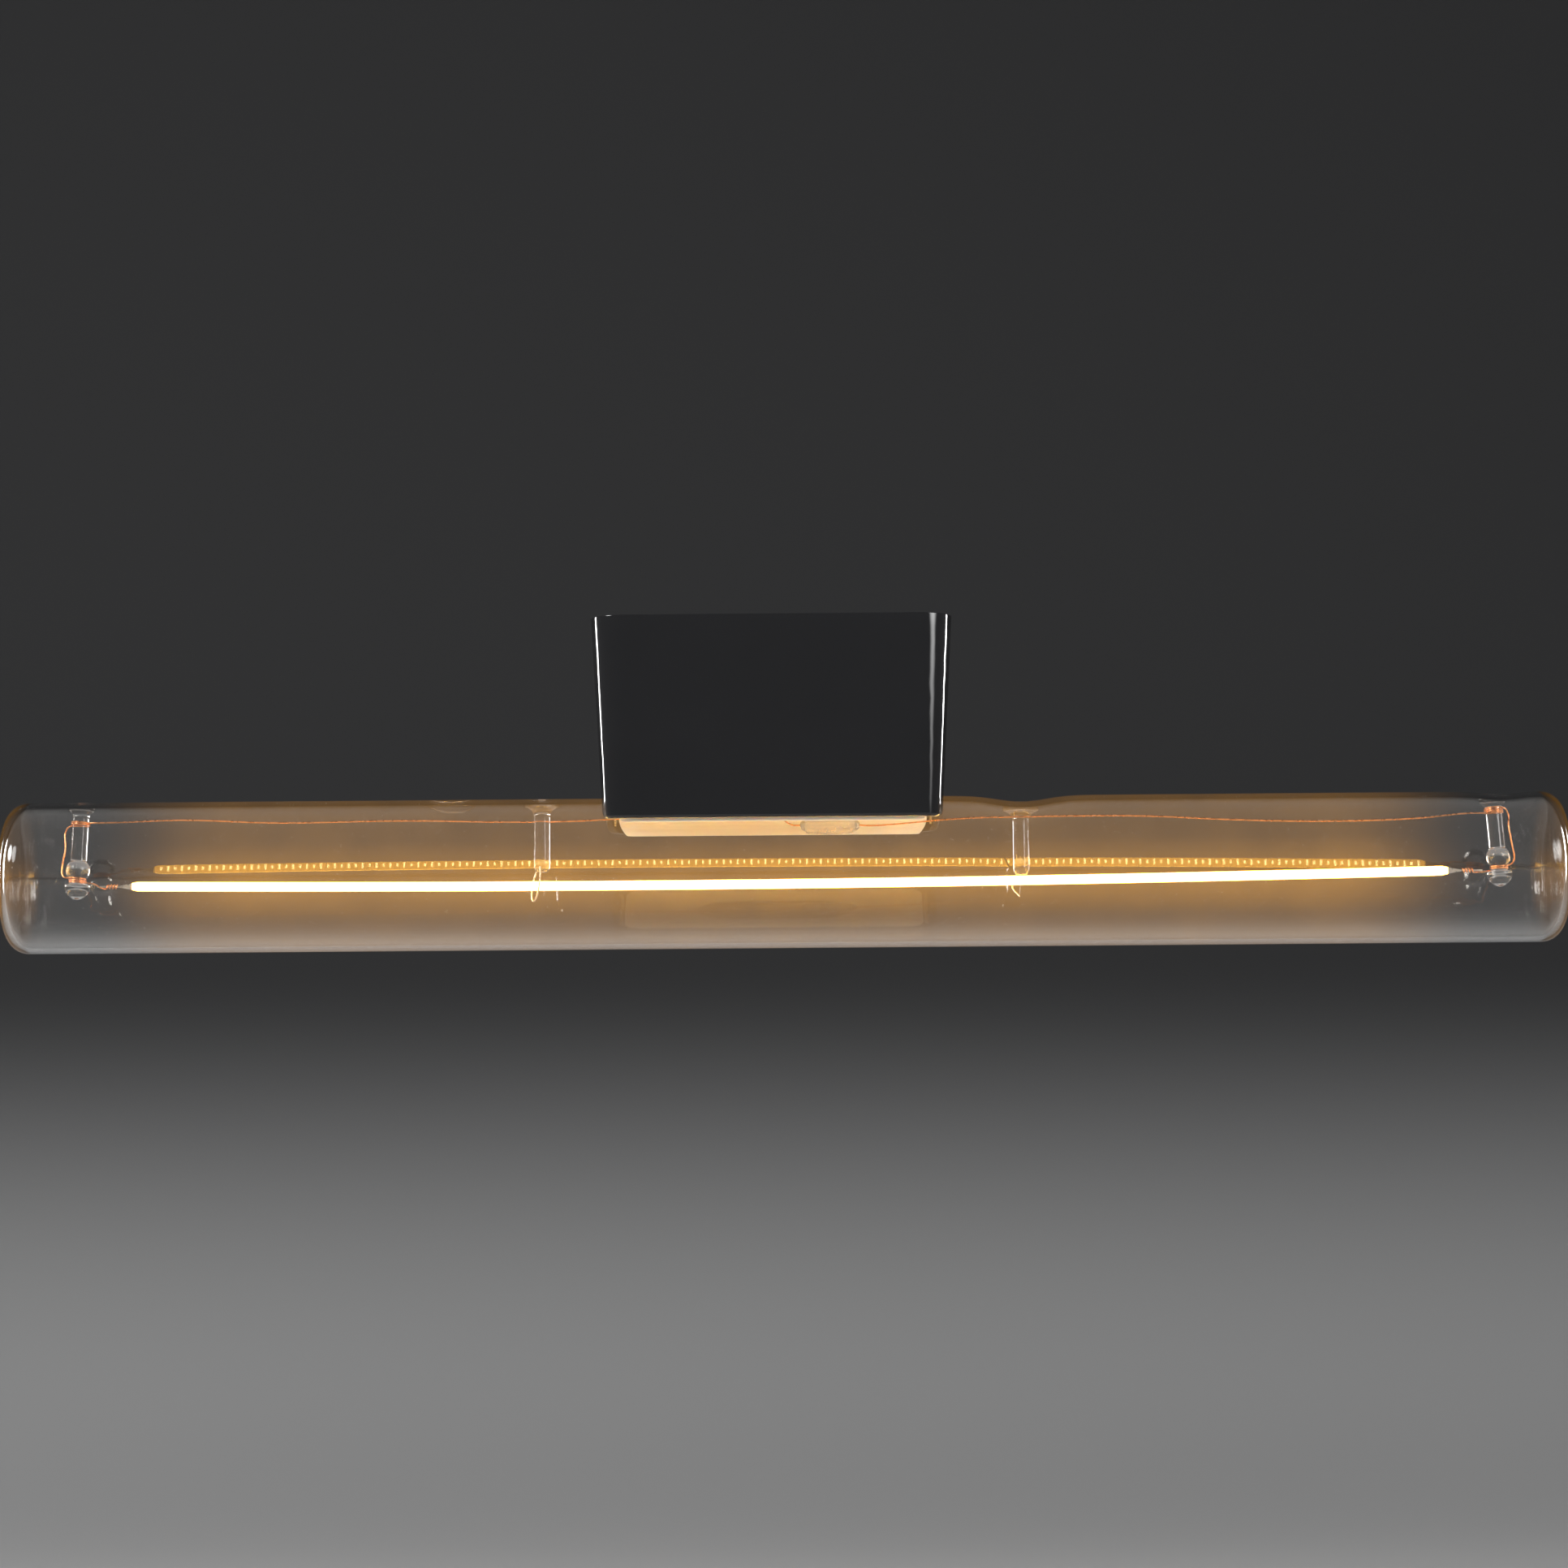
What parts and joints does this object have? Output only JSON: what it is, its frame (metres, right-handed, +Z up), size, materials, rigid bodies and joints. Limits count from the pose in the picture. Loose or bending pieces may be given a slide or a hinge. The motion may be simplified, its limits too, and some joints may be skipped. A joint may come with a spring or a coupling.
{
  "type": "linear led tube lamp",
  "caption": "Clear glass linear filament lamp with a central push-fit cap, hanging below its tapered gloss black ceiling lampholder.",
  "frame": {"origin": "middle of the lampholder's ceiling face", "axes": "+Z up, out of the ceiling face; +X along the tube, towards its right end in the picture; -Y towards the viewer"},
  "size_m": [0.3, 0.0318, 0.0624],
  "materials": {
    "clear_glass": "clear and smooth",
    "post_glass": "clear and smooth",
    "stem_glass": "milky",
    "hook_wire": "drawn wire",
    "lead_wire": "bare drawn copper",
    "carrier": "plated strip",
    "chips": "small chips under the coat",
    "phosphor": "soft silicone, lit",
    "cap_plastic": "moulded cream white",
    "contact_brass": "stamped strip",
    "board": "bare laminate",
    "component_black": "moulded",
    "can": "drawn can",
    "fuse_body": "lacquered",
    "housing_black": "polished black",
    "base_plastic": "moulded",
    "steel": "plated"
  },
  "bodies": {
    "root": {"glass_tube": "clear_glass", "end_post_left": "post_glass", "end_post_right": "post_glass", "mid_post_left": "post_glass", "mid_post_right": "post_glass", "hook_wire_left": "hook_wire", "hook_wire_right": "hook_wire", "filament_carrier": "carrier", "led_chips": "chips", "phosphor_coat": "phosphor", "lead_wire_left": "lead_wire", "lead_wire_right": "lead_wire", "lead_in_stem": "stem_glass", "lead_in_pins": "lead_wire", "cap_body": "cap_plastic", "cap_cover": "cap_plastic", "cap_contact_left": "contact_brass", "cap_contact_right": "contact_brass", "driver_board": "board", "bridge_rectifier": "component_black", "smoothing_capacitor": "can", "choke": "component_black", "fuse_resistor": "fuse_body", "holder_housing": "housing_black", "holder_base": "base_plastic", "housing_screws": "steel", "contact_spring_left": "contact_brass", "contact_spring_right": "contact_brass", "terminal_left": "contact_brass", "terminal_right": "contact_brass", "terminal_screws": "steel"}
  },
  "joints": []
}
